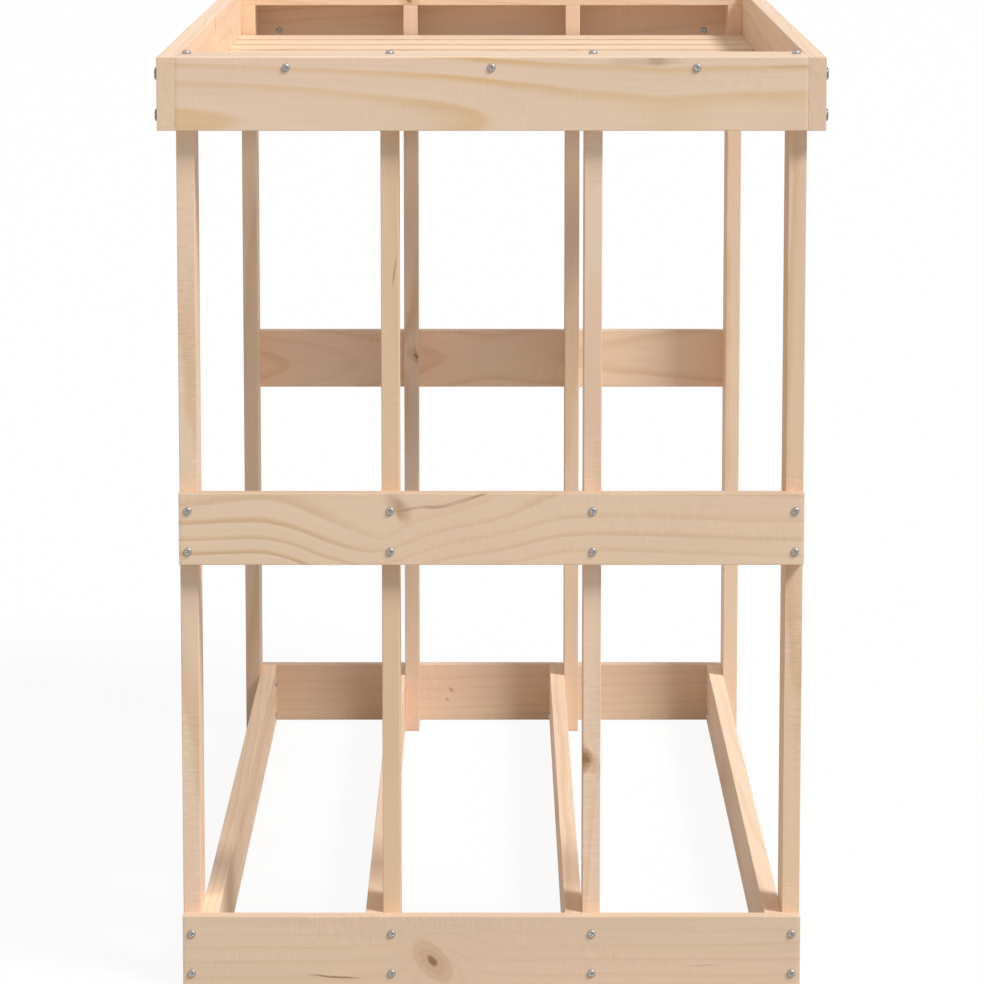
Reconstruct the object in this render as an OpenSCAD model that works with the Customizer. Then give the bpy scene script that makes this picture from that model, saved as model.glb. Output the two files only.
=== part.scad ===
// Open log store in pine: two end frames of four posts, four floor bearers and a slatted tray on top.
// X runs across, Y along the length, Z up. The origin is on the ground, in the middle of the plan.

/* [Overall size] */
// Length over the two end frames, along Y
store_l = 1080; // [960:10:1300]
// Width over the tray sides, along X
store_w = 520; // [440:10:680]
// Height of the tray's rim above the ground
store_h = 740; // [600:10:1000]

/* [Boards] */
// Thickness of every board
board_t = 14; // [12:1:18]
// Width of every board
board_w = 57; // [48:1:62]
// Radius of the softened long edges of every board
arris_r = 1.5; // [0.5:0.5:3]

/* [End frames] */
// Height of the mid rail's lower edge above the ground
mid_rail_z = 341; // [200:1:440]

/* [Tray] */
// Gap between the last slat at each end and the posts beside it
slat_end_gap = 6; // [2:1:12]

/* [Hidden] */
// Rails, slats and plates fit between the two tray sides
rail_l = store_w - 2 * board_t;
// The posts carry the top plates, whose upper faces are level with the rim
post_h = store_h - board_t;
// The tray hangs one board's width below the rim
tray_z = store_h - board_w;
// Middles of the four posts of an end frame: flush with the rail's ends, then at thirds
post_span = rail_l - board_t;
post_x = [for (i = [0:3]) post_span * (i / 3 - 1 / 2)];
// A bearer stands against one side of its post, -1 for the left side and 1 for the right
bearer_side = [1, -1, -1, -1];
// Distances from the middle of the length to the middles of the end rails and of the posts
end_rail_y = store_l / 2 - board_t / 2;
post_y = store_l / 2 - board_t - board_w / 2;
// The slats share the clear length between the posts of the two ends
slat_count = 12;
slat_row = store_l - 2 * (board_t + board_w + slat_end_gap) - board_w;
slat_y = [for (i = [0:slat_count - 1]) slat_row * (i / (slat_count - 1) - 1 / 2)];
// Pine as it looks in the light, on edge to it and in the shade
pine = "#dabc9a";
pine_light = "#f2d6b4";
pine_shade = "#cdae8b";
$fn = 48;

// Cross-section of a board about its middle, thin along X, with softened corners
module board_section() {
    square([board_t - 2 * arris_r, board_w], center = true);
    square([board_t, board_w - 2 * arris_r], center = true);
    for (sx = [-1, 1], sy = [-1, 1])
        translate([sx * (board_t / 2 - arris_r), sy * (board_w / 2 - arris_r)]) circle(r = arris_r);
}

// Board stood on end: thin along X, wide along Y, from the ground up
module board_upright(length) {
    linear_extrude(height = length) board_section();
}

// Board across the store on its edge: thin along Y, wide along Z, lower edge at Z = 0
module board_across(length) {
    translate([-length / 2, 0, board_w / 2])
        rotate([90, 90, 90]) linear_extrude(height = length) rotate(90) board_section();
}

// Board across the store laid flat: wide along Y, thin along Z, lower face at Z = 0
module board_flat(length) {
    translate([-length / 2, 0, board_t / 2])
        rotate([90, 0, 90]) linear_extrude(height = length) rotate(90) board_section();
}

// Board along the store on its edge: thin along X, wide along Z, lower edge at Z = 0
module board_along(length) {
    translate([0, length / 2, board_w / 2])
        rotate([90, 0, 0]) linear_extrude(height = length) board_section();
}

// One post, by its number from the left and its end, -1 for the front and 1 for the rear
module post(i, end) {
    color(pine) translate([post_x[i], end * post_y, 0]) board_upright(post_h);
}

// Rail across the feet of an end's posts
module bottom_rail(end) {
    color(pine) translate([0, end * end_rail_y, 0]) board_across(rail_l);
}

// Rail across the middle of an end's posts
module mid_rail(end) {
    color(pine) translate([0, end * end_rail_y, mid_rail_z]) board_across(rail_l);
}

// End of the tray, across the tops of an end's posts
module top_rail(end) {
    color(pine) translate([0, end * end_rail_y, tray_z]) board_across(rail_l);
}

// Board laid flat on the tops of an end's posts
module top_plate(end) {
    color(pine_light) translate([0, end * post_y, post_h]) board_flat(rail_l);
}

// Side of the tray over the whole length, -1 for the left and 1 for the right
module tray_side(side) {
    color(pine_light) translate([side * (store_w - board_t) / 2, 0, tray_z]) board_along(store_l);
}

// One slat of the tray's floor, by its number from the front
module tray_slat(i) {
    color(pine_light) translate([0, slat_y[i], tray_z]) board_flat(rail_l);
}

// Floor bearer against one side of the posts in its row, between the two bottom rails
module floor_bearer(i) {
    color(pine_shade) translate([post_x[i] + bearer_side[i] * board_t, 0, 0]) board_along(store_l - 2 * board_t);
}

post(0, -1);  // front_left_post
post(1, -1);  // front_mid_left_post
post(2, -1);  // front_mid_right_post
post(3, -1);  // front_right_post
post(0, 1);  // rear_left_post
post(1, 1);  // rear_mid_left_post
post(2, 1);  // rear_mid_right_post
post(3, 1);  // rear_right_post
bottom_rail(-1);  // front_bottom_rail
mid_rail(-1);  // front_mid_rail
top_rail(-1);  // front_top_rail
top_plate(-1);  // front_top_plate
bottom_rail(1);  // rear_bottom_rail
mid_rail(1);  // rear_mid_rail
top_rail(1);  // rear_top_rail
top_plate(1);  // rear_top_plate
tray_side(-1);  // left_tray_side
tray_side(1);  // right_tray_side
tray_slat(0);  // tray_slat_1
tray_slat(1);  // tray_slat_2
tray_slat(2);  // tray_slat_3
tray_slat(3);  // tray_slat_4
tray_slat(4);  // tray_slat_5
tray_slat(5);  // tray_slat_6
tray_slat(6);  // tray_slat_7
tray_slat(7);  // tray_slat_8
tray_slat(8);  // tray_slat_9
tray_slat(9);  // tray_slat_10
tray_slat(10);  // tray_slat_11
tray_slat(11);  // tray_slat_12
floor_bearer(0);  // left_floor_bearer
floor_bearer(1);  // mid_left_floor_bearer
floor_bearer(2);  // mid_right_floor_bearer
floor_bearer(3);  // right_floor_bearer
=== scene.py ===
import math

import bpy
import numpy as np
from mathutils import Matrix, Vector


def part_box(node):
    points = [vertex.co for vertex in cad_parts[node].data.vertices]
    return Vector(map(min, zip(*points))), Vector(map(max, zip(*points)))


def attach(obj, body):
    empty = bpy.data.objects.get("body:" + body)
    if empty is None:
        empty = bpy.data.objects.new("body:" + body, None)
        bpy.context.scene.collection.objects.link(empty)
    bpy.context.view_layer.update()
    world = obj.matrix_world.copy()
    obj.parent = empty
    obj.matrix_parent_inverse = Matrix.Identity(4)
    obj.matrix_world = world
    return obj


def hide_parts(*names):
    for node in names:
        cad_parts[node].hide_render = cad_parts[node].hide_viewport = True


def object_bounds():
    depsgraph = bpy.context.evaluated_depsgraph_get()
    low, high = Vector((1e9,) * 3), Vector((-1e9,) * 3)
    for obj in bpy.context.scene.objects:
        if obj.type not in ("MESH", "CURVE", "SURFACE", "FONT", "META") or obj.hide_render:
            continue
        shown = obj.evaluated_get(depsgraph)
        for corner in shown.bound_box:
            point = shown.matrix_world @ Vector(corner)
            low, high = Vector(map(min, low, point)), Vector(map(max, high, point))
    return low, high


# The log store's packed boards, the fixed frame that every piece below is dressed on.
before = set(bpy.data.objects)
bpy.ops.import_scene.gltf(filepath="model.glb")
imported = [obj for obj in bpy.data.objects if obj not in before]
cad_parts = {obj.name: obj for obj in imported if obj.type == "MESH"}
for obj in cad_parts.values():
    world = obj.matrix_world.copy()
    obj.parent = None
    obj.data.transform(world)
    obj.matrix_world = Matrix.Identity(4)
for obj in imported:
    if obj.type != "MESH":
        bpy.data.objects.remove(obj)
cad_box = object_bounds()
chance = np.random.default_rng(57)

# Posts
# Each end stands on four pine boards on end, thin edge outwards. They are planed, unfinished softwood with
# the arrises just taken off, so the growth rings, knots and planer marks stay in plain sight.


class Wire:
    """One socket of a material's nodes. Arithmetic on wires adds Math nodes to the same material."""

    def __init__(self, tree, socket=None):
        self.tree = tree
        self.socket = socket

    def node(self, kind, settings=None, sockets=None, out=0):
        """Adds a node: its type, then its settings, then the values or wires of its sockets."""
        made = self.tree.nodes.new(kind)
        for name, value in (settings or {}).items():
            setattr(made, name, value)
        for name, value in (sockets or {}).items():
            if isinstance(value, Wire):
                self.tree.links.new(value.socket, made.inputs[name])
            else:
                made.inputs[name].default_value = value
        return Wire(self.tree, made.outputs[out])

    def maths(self, operation, *values):
        """A Math node on the values, which are wires or numbers."""
        return self.node("ShaderNodeMath", {"operation": operation}, dict(enumerate(values)))

    def __add__(self, other):
        return self.maths("ADD", self, other)

    def __radd__(self, other):
        return self.maths("ADD", other, self)

    def __sub__(self, other):
        return self.maths("SUBTRACT", self, other)

    def __rsub__(self, other):
        return self.maths("SUBTRACT", other, self)

    def __mul__(self, other):
        return self.maths("MULTIPLY", self, other)

    def __rmul__(self, other):
        return self.maths("MULTIPLY", other, self)

    def __truediv__(self, other):
        return self.maths("DIVIDE", self, other)

    def __rtruediv__(self, other):
        return self.maths("DIVIDE", other, self)

    def __pow__(self, other):
        return self.maths("POWER", self, other)

    def __abs__(self):
        return self.maths("ABSOLUTE", self)

    def fade(self, start, end):
        """0 at start and 1 at end, eased at both; start may be the larger of the two."""
        if start > end:
            return 1 - self.fade(end, start)
        settings = {"interpolation_type": "SMOOTHSTEP"}
        sockets = {"Value": self, "From Min": start, "From Max": end}
        return self.node("ShaderNodeMapRange", settings, sockets, out="Result")

    def parts(self):
        """The three parts of a vector, each as a wire."""
        split = self.node("ShaderNodeSeparateXYZ", None, {"Vector": self})
        return [Wire(self.tree, socket) for socket in split.socket.node.outputs]


def pine_finish():
    """Pine as a solid: rings round the stem's heart, so that every face of a board agrees with the next.

    The board's own grain attribute gives metres along, across and through it. A ring is the distance to the
    heart, less a swelling that dies away round each knot, over the ring's width. Late wood darkens the last
    part of a ring, planer marks cross the grain, and streaks of resin follow a line given along the board.
    """
    pale = (0.955, 0.725, 0.520, 1)
    rosy = (0.955, 0.700, 0.515, 1)
    straw = (0.92, 0.63, 0.37, 1)
    early_cream = (1.0, 0.79, 0.60, 1)
    late_brown = (0.70, 0.42, 0.20, 1)
    late_gold = (0.81, 0.46, 0.11, 1)
    knot_rim = (0.63, 0.35, 0.18, 1)
    knot_heart = (0.29, 0.135, 0.065, 1)
    resin = (0.36, 0.19, 0.09, 1)
    end_tan = (0.80, 0.54, 0.33, 1)
    marks_depth = 0.026
    waver_reach = 0.0016
    sway_reach = 0.007
    ripple_reach = 0.0022
    late_height = 0.00010
    fibre_height = 0.00010
    stroke_height = 0.00006
    core_depth = 0.0003
    seed_step = 9.7
    tiny = 1e-6

    material = bpy.data.materials.new("planed_pine")
    material.use_nodes = True
    tree = material.node_tree
    shader = tree.nodes["Principled BSDF"]
    pine = Wire(tree)

    def own(name):
        """The three parts of an attribute that lay_board gives each board."""
        return pine.node("ShaderNodeAttribute", {"attribute_name": name}, out="Vector").parts()

    def noise(x, y, z, detail=1.0):
        """Soft noise from 0 to 1, about one cycle to a unit of x, y and z."""
        place = pine.node("ShaderNodeCombineXYZ", None, {"X": x, "Y": y, "Z": z})
        return pine.node("ShaderNodeTexNoise", None, {"Vector": place, "Scale": 1.0, "Detail": detail})

    def cloud(lengthwise, crosswise, detail=1.0, skew=0.0):
        """Noise with so many cycles to a metre along the board, and so many across and through it.

        Skew shifts the pattern across the board, so that two clouds don't coincide.
        """
        return noise(drift * lengthwise, across * crosswise + skew, through * crosswise, detail)

    def mix(share, first, second, clamp=True):
        """The first colour, with this share of the second laid over it."""
        colours = {0: share, 6: first, 7: second}
        return pine.node("ShaderNodeMix", {"data_type": "RGBA", "clamp_factor": clamp}, colours, out=2)

    along, across, through = own("grain")
    heart_across, heart_through, phase = own("heart")
    ring_width, seed, end_grain = own("growth")
    contrast, brightness, yellow = own("stock")
    core_1, core_2, chatter_share = own("marks")
    gold, inset = own("tint")[:2]
    drift = along + seed * seed_step
    taper = inset.fade(marks_depth, 0.0)

    # The swelling of the grain over a bend and round the knots, with the knots' dark cores and ringed halos
    bend_along, bend_across, bend_spread = own("bend")
    ahead = (along - bend_along) / (bend_spread + tiny)
    side = (across - bend_across) / (bend_spread + tiny)
    fall = ahead * ahead + side * side
    swelling = 0.6 * bend_spread / (1 + fall * fall)
    halo = 0.0 * along
    core = 0.0 * along
    ragged = noise(along * 160, across * 160, seed) - 0.5
    for name, core_r in (("knot_1", core_1), ("knot_2", core_2)):
        knot_along, knot_across, spread = own(name)
        spread = spread * taper
        ahead = along - knot_along
        side = across - knot_across
        reach = (ahead * ahead + side * side) ** 0.5 / (spread + tiny)
        swelling = swelling + 0.9 * spread * pine.maths("EXPONENT", 0 - reach)
        slant = ahead + 0.5 * side
        near = (slant * slant + 0.6 * side * side) ** 0.5 / (core_r * taper + tiny) + ragged * 0.7
        knot_rings = pine.maths("SINE", near * 4.4)
        halo = halo + near.fade(3.7, 2.7) * (0.72 + 0.13 * knot_rings) + 0.3 * near.fade(2.6, 0.9)
        core = core + near.fade(1.15, 0.45)

    # Streaks of resin, whose line wavers by less than a millimetre
    streaks = 0.0 * along
    for name in ("streak_1", "streak_2"):
        streak_across, streak_half, strength = own(name)
        waver = (noise(drift * 60, seed, 0.5) - 0.5) * waver_reach
        away = abs(across - streak_across + waver) / (streak_half + tiny)
        streaks = streaks + away.fade(1.0, 0.25) * strength * taper

    # The year's rings: the late wood of a ring comes on slowly and stops quickly, and some years are weaker
    sway = (cloud(3.2, 8) - 0.5) * sway_reach
    ripple = (cloud(16, 40, 2.0) - 0.5) * ripple_reach
    offset = across - heart_across
    depth = through - heart_through
    radius = (offset * offset + depth * depth) ** 0.5 - swelling + sway + ripple
    ring = radius / ring_width + phase
    turn = pine.maths("FRACT", ring)
    year = pine.maths("FLOOR", ring)
    settings = {"noise_dimensions": "1D"}
    vigour = pine.node("ShaderNodeTexWhiteNoise", settings, {"W": year + seed}, out="Value")
    late = turn.fade(0.55, 0.88) * turn.fade(1.0, 0.88) * (0.4 + 0.6 * vigour)
    late = late * contrast * (1 - 0.6 * end_grain)
    late = late * (0.55 + 0.9 * cloud(9, 30, skew=9))
    early = turn.fade(0.35, 0.0) * contrast

    # Fibres, patches of tone, and the planer's short strokes across the grain
    fibre = cloud(22, 1100, 3.0) - 0.5
    thread = noise(drift * 7, (radius + across) * 260, through * 260, 2.0) - 0.5
    blotch = cloud(6, 26, 2.0) - 0.5
    warmth = noise(drift * 3.1 + 40, across * 12, through * 12)
    strokes = noise(drift * 560, across * 100, through * 100 + seed)
    patch = cloud(8, 22, skew=3).fade(0.46, 0.62)
    chatter = (strokes.fade(0.56, 0.70) - 0.8 * strokes.fade(0.44, 0.30)) * patch * chatter_share

    # Colours, from the early wood to the knots, the resin and the sawn ends
    wood = mix(warmth.fade(0.3, 0.7), pale, rosy)
    wood = mix(yellow, wood, straw, clamp=False)
    wood = mix(late * (0.46 + 0.15 * gold), wood, mix(gold, late_brown, late_gold))
    wood = mix(early * 0.15, wood, early_cream)
    wood = mix(halo * 0.46, wood, knot_rim)
    wood = mix(core * 0.8, wood, knot_heart)
    wood = mix(streaks, wood, resin)
    wood = mix(end_grain * 0.15, wood, end_tan)
    light = brightness + blotch * 0.11 + fibre * 0.08 + thread * 0.07 + chatter * 0.07
    wood = pine.node("ShaderNodeVectorMath", {"operation": "SCALE"}, {0: wood, "Scale": light})
    tree.links.new(wood.socket, shader.inputs["Base Color"])

    rough = 0.64 - late * 0.10 + fibre * 0.10
    tree.links.new(rough.socket, shader.inputs["Roughness"])
    shader.inputs["Specular IOR Level"].default_value = 0.35

    # Late wood and fibres stand proud, and a knot's core is sunk
    height = late * late_height + fibre * fibre_height + chatter * stroke_height - core * core_depth
    bump = pine.node("ShaderNodeBump", None, {"Height": height, "Strength": 0.6, "Distance": 1.0})
    tree.links.new(bump.socket, shader.inputs["Normal"])
    return material


planed_pine = pine_finish()


def board_surface(low, high, arris_r, end_r=0.0004, station_gap=0.006, end_gap=0.004, lead=0.0005):
    """A board that fills the box from low to high: a section carried along its longest side.

    The section is a rectangle with a quarter circle at each corner, whose radius wanders along the board by
    a slow and a quick wave. A lead point on the flat beside each arc keeps the shading of the flats even.
    Near each end the section draws in along a quarter circle, and a flat face closes it. Returns the points,
    the faces, and for each point its metres along, across and through the board from its middle.
    """
    slow_rate = 31
    slow_share = 0.22
    quick_rate = 87
    quick_share = 0.14
    size = high - low
    thin, wide, long = np.argsort(size)
    half = size / 2
    stations = 2 + int(size[long] / station_gap)
    ease = np.radians([0, 30, 60, 90])
    rise = end_r * (1 - np.cos(ease))
    draw = end_r * (1 - np.sin(ease))
    middle = np.linspace(-half[long] + end_gap, half[long] - end_gap, stations)
    run = np.concatenate([rise - half[long], middle, half[long] - rise[::-1]])
    inset = np.concatenate([draw, np.zeros(stations), draw[::-1]])
    wander = chance.uniform(0, 2 * np.pi, (2, 4))
    slow = slow_share * np.sin(run[:, None] * slow_rate + wander[0])
    quick = quick_share * np.sin(run[:, None] * quick_rate + wander[1])
    radius = arris_r * (1 + (slow + quick))

    turn = np.radians(np.arange(5) * 22.5)
    ring = []
    for corner in range(4):
        quarter = corner * np.pi / 2
        sign_a = np.sign(np.cos(quarter + np.pi / 4))
        sign_b = np.sign(np.sin(quarter + np.pi / 4))
        r = radius[:, corner]
        centre_a = sign_a * (half[thin] - inset - r)
        centre_b = sign_b * (half[wide] - inset - r)
        angles = quarter + turn
        arc = [(centre_a + r * np.cos(angle), centre_b + r * np.sin(angle)) for angle in angles]
        before = (arc[0][0] + lead * np.sin(quarter), arc[0][1] - lead * np.cos(quarter))
        after = (arc[-1][0] - lead * np.cos(quarter), arc[-1][1] - lead * np.sin(quarter))
        ring += [before, *arc, after]
    ring = np.array(ring)
    count, rows = ring.shape[0], ring.shape[2]
    local = np.empty((rows, count, 3))
    local[:, :, 0] = run[:, None]
    local[:, :, 1] = ring[:, 1].T
    local[:, :, 2] = ring[:, 0].T
    points = np.empty_like(local)
    for axis, column in ((long, 0), (wide, 1), (thin, 2)):
        points[:, :, axis] = local[:, :, column] + (low[axis] + high[axis]) / 2

    k = np.arange(count)
    j = np.arange(rows - 1)[:, None] * count
    following = (k + 1) % count
    sides = np.stack([j + k, j + following, j + count + following, j + count + k], -1).reshape(-1, 4)
    faces = [*sides.tolist(), k[::-1].tolist(), ((rows - 1) * count + k).tolist()]
    right_handed = (thin, wide, long) in ((0, 1, 2), (1, 2, 0), (2, 0, 1))
    if not right_handed:
        faces = [face[::-1] for face in faces]
    return points.reshape(-1, 3), faces, local.reshape(-1, 3)


def along_board(run, points, ease=0.014):
    """Values at run, in metres, from rows of along, value, value and so on, in millimetres.

    Straight lines run from row to row. Half of the value in place and a quarter of each of the values one
    ease before it and one ease after it then round the bends.
    """
    rows = np.array(points, float) / 1000
    shifts = np.array([-ease, 0.0, ease])[:, None] + run
    columns = [np.interp(shifts, rows[:, 0], column).T @ [0.25, 0.5, 0.25] for column in rows.T[1:]]
    return np.stack(columns, 1)


def lay_board(node, heart=None, ring_width=None, phase=None, contrast=0.8, brightness=None, yellow=None,
              chatter=0.6, bend=(0, 0, 0), knots=(), streaks=(), arris_r=0.5, painted_edge_light=1.0,
              gold=0.0, on_edge=False):
    """Replaces a packed board with a planed one, and gives it its own place in a stem.

    Lengths are in millimetres. heart has rows of along, across and through the board, where the stem's heart
    runs. A bend is the along, across and spread of a gentle swelling in the grain. A knot is along, across,
    the spread of its swelling and the radius of its core. A streak has rows of along, across, half width and
    strength in thousandths, and contrast may be rows of along and thousandths. The factor for the narrow
    edges multiplies their brightness: above 1 it paints light on them and below 1 it paints shade, as light
    falls on a board's top and bottom. gold is the share of gold in the late wood. Knots and streaks stay on
    the wide faces. on_edge turns the stem by a quarter, for flat grain on the narrow edges: then knots and
    streaks start on the edge that faces the front, and taper inwards from it. A heart that isn't given runs
    25 to 70 mm from the board's middle plane, more or less aslant. It is left to chance, and so are a ring
    width, a phase, a brightness and a yellow that aren't given.
    """
    edge_band = 0.0001
    end_band = 1e-5
    streak_ease = 0.003
    blank = (0.0, 0.0, 0.0, 0.0)
    low, high = (np.array(corner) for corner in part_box(node))
    points, faces, grain = board_surface(low, high, arris_r / 1000)
    length = (high - low).max()
    edges = np.abs(grain[:, 1]) > np.abs(grain[:, 1]).max() - edge_band
    ends = np.abs(np.abs(grain[:, 0]) - length / 2) < end_band
    if on_edge:
        grain = grain[:, [0, 2, 1]]
    if heart is None:
        half_mm = 500 * length
        far = chance.uniform(25, 70) * chance.choice([-1, 1])
        start, end = far + chance.uniform(-14, 14, 2)
        across = chance.uniform(-45, 45, 2)
        heart = [(-half_mm, across[0], start), (half_mm, across[1], end)]
    picks = chance.uniform(0, 1, 5)
    ring_width = ring_width or 6 + 5 * picks[0]
    phase = picks[1] if phase is None else phase
    brightness = 0.97 + 0.06 * picks[2] if brightness is None else brightness
    yellow = 0.2 * picks[3] if yellow is None else yellow
    seed = 4 * picks[4]

    one = np.ones(len(grain))
    run = grain[:, 0]
    inset = grain[:, 2] - grain[:, 2].min() if on_edge else 0 * one
    shown = one if on_edge else 1.0 - edges
    late = along_board(run, contrast)[:, 0] if np.ndim(contrast) else contrast * one
    knots = [*knots, blank, blank][:2]
    streaks = [*streaks, [blank], [blank]][:2]
    values = {
        "grain": grain,
        "heart": np.column_stack([along_board(run, heart), phase * one]),
        "growth": np.column_stack([ring_width / 1000 * one, seed * one, ends]),
        # The narrow edges' brightness is scaled by the edge factor: painted light or painted shade on them.
        "stock": np.column_stack([late, brightness * np.where(edges, painted_edge_light, 1.0), yellow * one]),
        "marks": np.column_stack([shown * knots[0][3] / 1000, shown * knots[1][3] / 1000, chatter * one]),
        "bend": one[:, None] * np.array(bend) / 1000,
        "tint": np.column_stack([gold * one, inset, 0 * one]),
    }
    for number, (knot, streak) in enumerate(zip(knots, streaks), 1):
        values[f"knot_{number}"] = one[:, None] * np.array(knot[:3]) / 1000
        line = along_board(run, streak, streak_ease)
        values[f"streak_{number}"] = line * np.column_stack([one, one, shown])
    mesh = bpy.data.meshes.new(node + "_board")
    mesh.from_pydata(points.tolist(), [], faces)
    mesh.polygons.foreach_set("use_smooth", np.arange(len(faces)) < len(faces) - 2)
    for name, value in values.items():
        layer = mesh.attributes.new(name, "FLOAT_VECTOR", "POINT")
        layer.data.foreach_set("vector", np.ascontiguousarray(value, np.float32).ravel())
    mesh.materials.append(planed_pine)
    board = bpy.data.objects.new(node + "_board", mesh)
    bpy.context.scene.collection.objects.link(board)
    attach(board, "root")
    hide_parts(node)


lay_board("front_left_post", on_edge=True, heart=[(-363, 14, 60), (363, 3, 40)], ring_width=8, chatter=1.2,
          brightness=0.99, yellow=0.06)
lay_board("front_mid_left_post", on_edge=True, yellow=0.5, chatter=0.4, brightness=0.93,
          streaks=[[(194, 1.5, 0.2, 0), (203, 2.6, 0.9, 800), (214, 4.2, 0.7, 700), (228, 6.2, 0.2, 0)]])
lay_board("front_mid_right_post", on_edge=True, brightness=1.01, yellow=0, chatter=0.9,
          knots=[(-181, -5.0, 10, 2.9)],
          streaks=[[(-189.5, -7, 4, 0), (-187, -7, 8, 900), (-181, -7, 11.5, 1000), (-176, -7, 9, 950),
                    (-172.5, -7, 4, 0)]])
lay_board("front_right_post", on_edge=True, brightness=0.97, yellow=0.38, chatter=1.2)
lay_board("rear_left_post", on_edge=True)
lay_board("rear_mid_left_post", on_edge=True, contrast=1.0, brightness=0.88, knots=[(16, 5.0, 12, 2.2)],
          streaks=[[(4, 6.0, 0.3, 0), (14, 5.0, 1.0, 600), (34, 2.0, 0.6, 200), (44, 0.5, 0.3, 0)]])
lay_board("rear_mid_right_post", on_edge=True, brightness=0.92)
lay_board("rear_right_post", on_edge=True)

# End rails and top rails
# Boards on edge across the outer edges of the posts of an end, and the tray's two ends in the same plane.
# The front ones show flat-sawn grain: a long flame on the top rail, a swirl and a knot lower down.
lay_board("front_top_rail", ring_width=11.5, phase=0.445, brightness=0.99, yellow=0.0, chatter=0.35,
          gold=0.9,
          contrast=[(-246, 850), (-200, 800), (-90, 850), (-30, 1300), (0, 1300), (60, 850), (246, 700)],
          heart=[(-246, -19, 20), (-212, -19, 21), (-152, -19, 25.2), (-90, -19, 28.7), (-56, -19, 30.7),
                 (-22, -19, 32.8), (-7, -19, 34.1), (50, -19, 39), (85, -19, 40.6), (133, -19, 42.5),
                 (187, -19, 40), (246, -19, 40.8)],
          streaks=[[(90, 25.5, 5, 0), (97, 25.5, 5, 170), (119, 25.5, 5, 200), (123, 25.5, 5, 300),
                    (126, 25.5, 5, 560), (131, 25.5, 5, 560), (135, 25.5, 4.5, 250), (143, 26, 4, 150),
                    (152, 26, 3, 0)],
                   [(208, 21, 0.8, 0), (222, 21, 1.8, 220), (246, 21.5, 1.8, 220)]])
# The mid rail's narrow edges are painted darker: painted shade on its top, which sits under the tray.
lay_board("front_mid_rail", ring_width=9.6, phase=0.515, brightness=0.965, yellow=0.12, chatter=0.5,
          painted_edge_light=0.82,
          contrast=[(-246, 1700), (-130, 1700), (-105, 1000), (-90, 650), (-50, 550), (0, 650), (60, 750),
                    (246, 650)],
          heart=[(-246, 40, 31), (-176, 40, 33.4), (-150, 32, 33), (-142, 29, 32), (-132, 24, 32.5),
                 (-116, 21, 31), (-100, 18, 29.5), (-88, 18, 29.5), (-68, 26, 28), (-47, 36, 26),
                 (-23, 41, 27), (0, 41.5, 30.5), (29, 41, 39.5), (55, 44, 43), (100, 45.5, 43),
                 (246, 42, 43)],
          knots=[(-86, -2, 8, 0)],
          streaks=[[(-74, 13.5, 1.0, 0), (-69, 14.8, 1.8, 350), (-62, 16.5, 1.6, 330), (-55, 17.4, 1.5, 260),
                    (-50, 17.7, 1.9, 560), (-40, 17.8, 1.9, 560), (-34, 19.4, 2.4, 330),
                    (-23, 22.6, 2.8, 330), (-14, 25.4, 1.9, 520), (-8, 27.4, 1.6, 700), (-2, 29, 0.8, 600),
                    (4, 31, 0.5, 0)],
                   [(-84, 24, 6, 0), (-78, 23, 8, 380), (-74, 17, 13, 560), (-71, 14, 15, 680),
                    (-68, 13, 12, 420), (-63, 12, 8, 0)]])
# The bottom rail's narrow edges are painted a little darker: a faint painted shade on its top.
lay_board("front_bottom_rail", ring_width=9, brightness=0.9, yellow=0.07, chatter=0.7, painted_edge_light=0.98,
          contrast=[(-246, 400), (-110, 400), (-80, 220), (10, 220), (60, 330), (246, 380)],
          heart=[(-246, -70, 50), (246, -66, 50)], bend=(-40, -6, 24), knots=[(-47, -8, 11, 4.1)],
          streaks=[[(-148, -18.8, 0.3, 0), (-140, -19.6, 1.1, 700), (-125, -20.9, 1.4, 800),
                    (-112, -21.7, 1.2, 750), (-103, -22, 0.4, 0)],
                   [(150, -11.8, 0.3, 0), (164, -11.5, 0.9, 320), (174, -11.2, 0.9, 320),
                    (186, -11, 0.3, 0)]])
lay_board("rear_top_rail", brightness=0.905, yellow=-0.2)
lay_board("rear_mid_rail", contrast=0.8, brightness=1.0, yellow=-0.3, ring_width=8,
          heart=[(-246, -8, 24), (-120, -2, 40), (0, 4, 50), (246, 6, 36)])
lay_board("rear_bottom_rail", contrast=0.4, brightness=0.91, yellow=-0.15,
          heart=[(-246, 60, 46), (246, 66, 50)], knots=[(-41, 2.5, 5, 0.8), (-45, -7.4, 4, 0.6)])

# Top plates
# A board laid flat on the tops of the four posts, level with the tray's rim and screwed down into them.
lay_board("front_top_plate", brightness=0.92)
lay_board("rear_top_plate", on_edge=True, brightness=0.95, yellow=-0.1, knots=[(-81.7, -1.5, 7, 3.2)])

# Tray sides
# Two boards on edge over the whole length, which cap the ends of the top rails and hold the slats.
lay_board("left_tray_side", knots=[(26, 20, 12, 2.4)])
lay_board("right_tray_side", brightness=0.965)

# Tray slats
# Twelve boards laid flat between the tray sides, with a finger's gap between them.
slats = [f"tray_slat_{number}" for number in range(1, 13)]
for slat in slats:
    lay_board(slat, arris_r=0.3)

# Floor bearers
# Four boards on edge that keep the logs off the ground, each screwed to the side of a front and a rear post.
# The left bearer's edge factor paints a little light on its top.
lay_board("left_floor_bearer", brightness=1.03, painted_edge_light=1.02)
lay_board("mid_left_floor_bearer")
lay_board("mid_right_floor_bearer")
# The right bearer's low brightness paints shade on its sides, and its edge factor paints light on its top.
lay_board("right_floor_bearer", brightness=0.89, yellow=-0.05, painted_edge_light=1.18)

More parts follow.
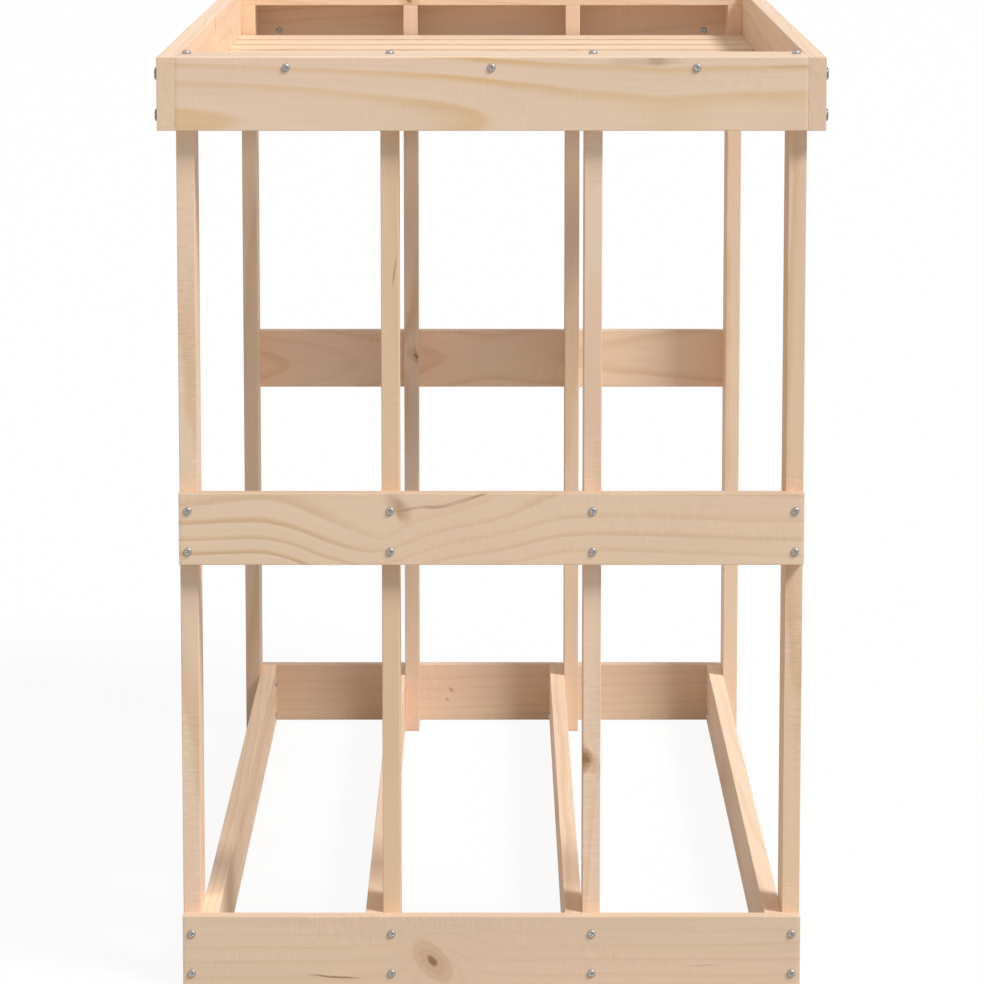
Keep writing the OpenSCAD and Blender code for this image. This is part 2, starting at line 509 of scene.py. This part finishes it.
# Screws
# Zinc-plated steel screws with round pan heads and a cross recess, turned down tight on the boards.
# A drop is from a rail's or the rim's top edge, and a head is its radius and its height, in metres.
rail_drops = (0.014, 0.0464)
rim_drop = 0.008
rim_spread = 0.1595
inner_drop = 0.042
inner_spread = 0.2105
corner_drops = (0.013, 0.045)
corner_inset = 0.007
bearer_heights = (0.043, 0.0106)
board_head = (0.0032, 0.0019)
plate_head = (0.0036, 0.0033)
inner_head = (0.0034, 0.0008)
corner_head = (0.005, 0.0021)


def zinc_finish(name, base):
    """Zinc plate: a grey metal with a faint uneven polish from the tumbling of the screws."""
    material = bpy.data.materials.new(name)
    material.use_nodes = True
    tree = material.node_tree
    shader = tree.nodes["Principled BSDF"]
    place = Wire(tree).node("ShaderNodeTexCoord", out="Object")
    cloud = place.node("ShaderNodeTexNoise", None, {"Vector": place, "Scale": 900.0, "Detail": 2.0})
    tree.links.new((0.32 + cloud * 0.2).socket, shader.inputs["Roughness"])
    shader.inputs["Base Color"].default_value = base
    shader.inputs["Metallic"].default_value = 1.0
    return material


bright_zinc = zinc_finish("bright_zinc", (0.38, 0.36, 0.34, 1))
# A darker copy of the zinc for the corner screws: its darkness is painted shade, for heads that sit in shade
# on the tray's sides.
shaded_zinc = zinc_finish("shaded_zinc", (0.18, 0.175, 0.17, 1))


def drive_screws(name, spots, out, head=board_head, finish=bright_zinc):
    """Pan heads at the spots, facing out: a dome swung round its axis, with two crossed slots sunk into it.

    Height over the board is the dome's, the head's height times cos^0.6 of the slope angle, less the slots'
    depth; a skirt and a flat face under the board's surface close the head. Each head is turned by chance.
    """
    head_r, head_h = head
    slot_half = 0.15 * head_r
    slot_reach = 0.56 * head_r
    slot_depth = 0.5 * head_h
    side_wall = 0.08 * head_r
    end_wall = 0.1 * head_r
    skirt = 0.0006
    around = 48
    spots = np.array(spots, float)
    out = np.broadcast_to(np.array(out, float), spots.shape)
    slope = np.radians([0, 6, 12, 18, 24, 30, 36, 44, 54, 66, 78, 90])
    swing = np.arange(around) * 2 * np.pi / around
    r = np.append(head_r * np.sin(slope), [head_r, 0])
    dome = np.append(head_h * np.cos(slope) ** 0.6, [-skirt, -skirt])
    x = r[:, None] * np.cos(swing)
    y = r[:, None] * np.sin(swing)

    def slot(a, b):
        """1 inside a slot that lies along b, and 0 outside it, with a steep wall between."""
        side = np.clip(0.5 + (slot_half - np.abs(a)) / side_wall, 0, 1)
        return side * np.clip(0.5 + (slot_reach - np.abs(b)) / end_wall, 0, 1)

    sunk = np.maximum(slot(x, y), slot(y, x)) * (np.arange(len(r)) < len(slope))[:, None]
    z = dome[:, None] - slot_depth * sunk
    side = np.cross(out, np.where(np.abs(out[:, 2:]) > 0.5, [1.0, 0, 0], [0, 0, 1.0]))
    up = np.cross(out, side)
    roll = chance.uniform(0, np.pi / 2, (len(spots), 1))
    first = side * np.cos(roll) + up * np.sin(roll)
    second = np.cross(out, first)
    grid = (spots[:, None, None] + x[None, :, :, None] * first[:, None, None]
            + y[None, :, :, None] * second[:, None, None] + z[None, :, :, None] * out[:, None, None])
    heads, rows, columns = grid.shape[:3]
    points = np.concatenate([grid[:, :1, 0], grid[:, 1:-1].reshape(heads, -1, 3), grid[:, -1:, 0]], 1)
    k = np.arange(columns)
    after = (k + 1) % columns
    j = 1 + np.arange(rows - 3)[:, None] * columns
    quads = np.stack([j + k, j + columns + k, j + columns + after, j + after], -1).reshape(-1, 4)
    last = points.shape[1] - 1
    top = np.stack([0 * k, 1 + k, 1 + after], -1)
    base = np.stack([0 * k + last, last - columns + after, last - columns + k], -1)
    step = np.arange(heads)[:, None, None] * points.shape[1]
    faces = [*(quads + step).reshape(-1, 4).tolist(), *(top + step).reshape(-1, 3).tolist(),
             *(base + step).reshape(-1, 3).tolist()]
    mesh = bpy.data.meshes.new(name)
    mesh.from_pydata(points.reshape(-1, 3).tolist(), [], faces)
    mesh.polygons.foreach_set("use_smooth", np.ones(len(faces), bool))
    mesh.materials.append(finish)
    piece = bpy.data.objects.new(name, mesh)
    bpy.context.scene.collection.objects.link(piece)
    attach(piece, "root")


def centre(node):
    """The middle of a packed board's box."""
    low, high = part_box(node)
    return [(start + end) / 2 for start, end in zip(low, high)]


post_x = [centre(f"front_{row}_post")[0] for row in ("left", "mid_left", "mid_right", "right")]
plate_y = centre("rear_top_plate")[1]
side_x, end_y, rim_z = cad_box[1]
for end, sign in (("front", -1), ("rear", 1)):
    rail_tops = [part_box(f"{end}_{level}_rail")[1][2] for level in ("bottom", "mid")]
    spots = [(x, sign * end_y, top - drop) for top in rail_tops for drop in rail_drops for x in post_x]
    spots += [(x, sign * end_y, rim_z - rim_drop) for x in (-rim_spread, 0.0, rim_spread)]
    drive_screws(f"{end}_rail_screws", spots, (0, sign, 0))
    spots = [(x, sign * plate_y, rim_z) for x in post_x]
    drive_screws(f"{end}_plate_screws", spots, (0, 0, 1), plate_head)
    inner_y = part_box(f"{end}_top_rail")[0 if sign > 0 else 1][1]
    spots = [(x, inner_y, rim_z - inner_drop) for x in (-inner_spread, inner_spread)]
    drive_screws(f"{end}_inner_screws", spots, (0, -sign, 0), inner_head)
corner_y = (corner_inset - end_y, end_y - corner_inset)
slat_y = [centre(slat)[1] for slat in slats]
slat_z = centre(slats[0])[2]
for side, sign in (("left", -1), ("right", 1)):
    spots = [(sign * side_x, y, rim_z - drop) for y in corner_y for drop in corner_drops]
    drive_screws(f"{side}_corner_screws", spots, (sign, 0, 0), corner_head, shaded_zinc)
    spots = [(sign * side_x, y, slat_z) for y in slat_y]
    drive_screws(f"{side}_slat_screws", spots, (sign, 0, 0))
for row, sign in (("left", 1), ("mid_left", -1), ("mid_right", -1), ("right", -1)):
    face_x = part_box(f"{row}_floor_bearer")[1 if sign > 0 else 0][0]
    spots = [(face_x, y, z) for y in (-plate_y, plate_y) for z in bearer_heights]
    drive_screws(f"{row}_bearer_screws", spots, (sign, 0, 0))

# Floor and light
# A wide pale floor that the camera sees as white but for the store's soft shadow, a pale world all round,
# and one broad lamp from high on the right, a little in front.
floor_half = 40.0
floor_z = -0.0004
floor_grey = (0.5, 0.5, 0.5, 1)
floor_glow = 0.92
white = (1, 1, 1, 1)
sky_level = 0.38
lamp_distance = 300.0
lamp_level = 2.58
lamp_half_width = math.radians(11)
lamp_half_height = math.radians(5)
to_lamp = np.array([0.542, -0.38, 0.749])

mesh = bpy.data.meshes.new("studio_floor")
corners = [(-1, -1), (1, -1), (1, 1), (-1, 1)]
mesh.from_pydata([(x * floor_half, y * floor_half, floor_z) for x, y in corners], [], [(0, 1, 2, 3)])
floor = bpy.data.objects.new("studio_floor", mesh)
bpy.context.scene.collection.objects.link(floor)
material = bpy.data.materials.new("studio_floor")
material.use_nodes = True
tree = material.node_tree
tree.nodes.remove(tree.nodes["Principled BSDF"])
studio = Wire(tree)


def seen(wire):
    """1 on the rays that show a background: straight from the camera, off metal, or through glass."""
    rays = wire.node("ShaderNodeLightPath").socket.node.outputs
    kinds = ("Is Camera Ray", "Is Glossy Ray", "Is Transmission Ray")
    straight, off_metal, through_glass = [Wire(wire.tree, rays[kind]) for kind in kinds]
    return wire.maths("MAXIMUM", straight, wire.maths("MAXIMUM", off_metal, through_glass))


show = seen(studio)
tone = studio.node("ShaderNodeMix", {"data_type": "RGBA"}, {0: show, 6: floor_grey, 7: white}, out=2)
lit = studio.node("ShaderNodeBsdfDiffuse", None, {"Color": tone})
glow = studio.node("ShaderNodeEmission", None, {"Color": white, "Strength": 1.0})
both = studio.node("ShaderNodeMixShader", None, {0: show * floor_glow, 1: lit, 2: glow})
tree.links.new(both.socket, tree.nodes["Material Output"].inputs["Surface"])
mesh.materials.append(material)

world = bpy.data.worlds.new("studio")
world.use_nodes = True
bpy.context.scene.world = world
sky = Wire(world.node_tree)
level = sky.node("ShaderNodeMix", {"data_type": "FLOAT"}, {0: seen(sky), 2: sky_level, 3: 1.0})
backdrop = world.node_tree.nodes["Background"]
backdrop.inputs["Color"].default_value = white
world.node_tree.links.new(level.socket, backdrop.inputs["Strength"])

lamp = bpy.data.lights.new("key", "AREA")
lamp.shape = "RECTANGLE"
lamp.size = 2 * lamp_distance * math.tan(lamp_half_width)
lamp.size_y = 2 * lamp_distance * math.tan(lamp_half_height)
lamp.energy = lamp_level * math.pi * lamp_distance ** 2
key = bpy.data.objects.new("key", lamp)
bpy.context.scene.collection.objects.link(key)
key.location = to_lamp * lamp_distance
key.rotation_euler = (math.atan2(math.hypot(to_lamp[0], to_lamp[1]), to_lamp[2]), 0,
                      math.atan2(to_lamp[0], -to_lamp[1]))

# Camera
# It looks along the store from a little above the rim, at one end frame, and tips down to centre it.
tip_down = 8.808
lens = bpy.data.cameras.new("camera")
lens.sensor_width = 36.0
lens.lens = 177.38
lens.clip_end = 200.0
camera = bpy.data.objects.new("camera", lens)
camera.location = (0.0004, -4.3038, 0.9824)
camera.rotation_euler = (math.radians(90 - tip_down), 0, 0)
bpy.context.scene.collection.objects.link(camera)
bpy.context.scene.camera = camera
bpy.context.scene.view_settings.view_transform = "Standard"
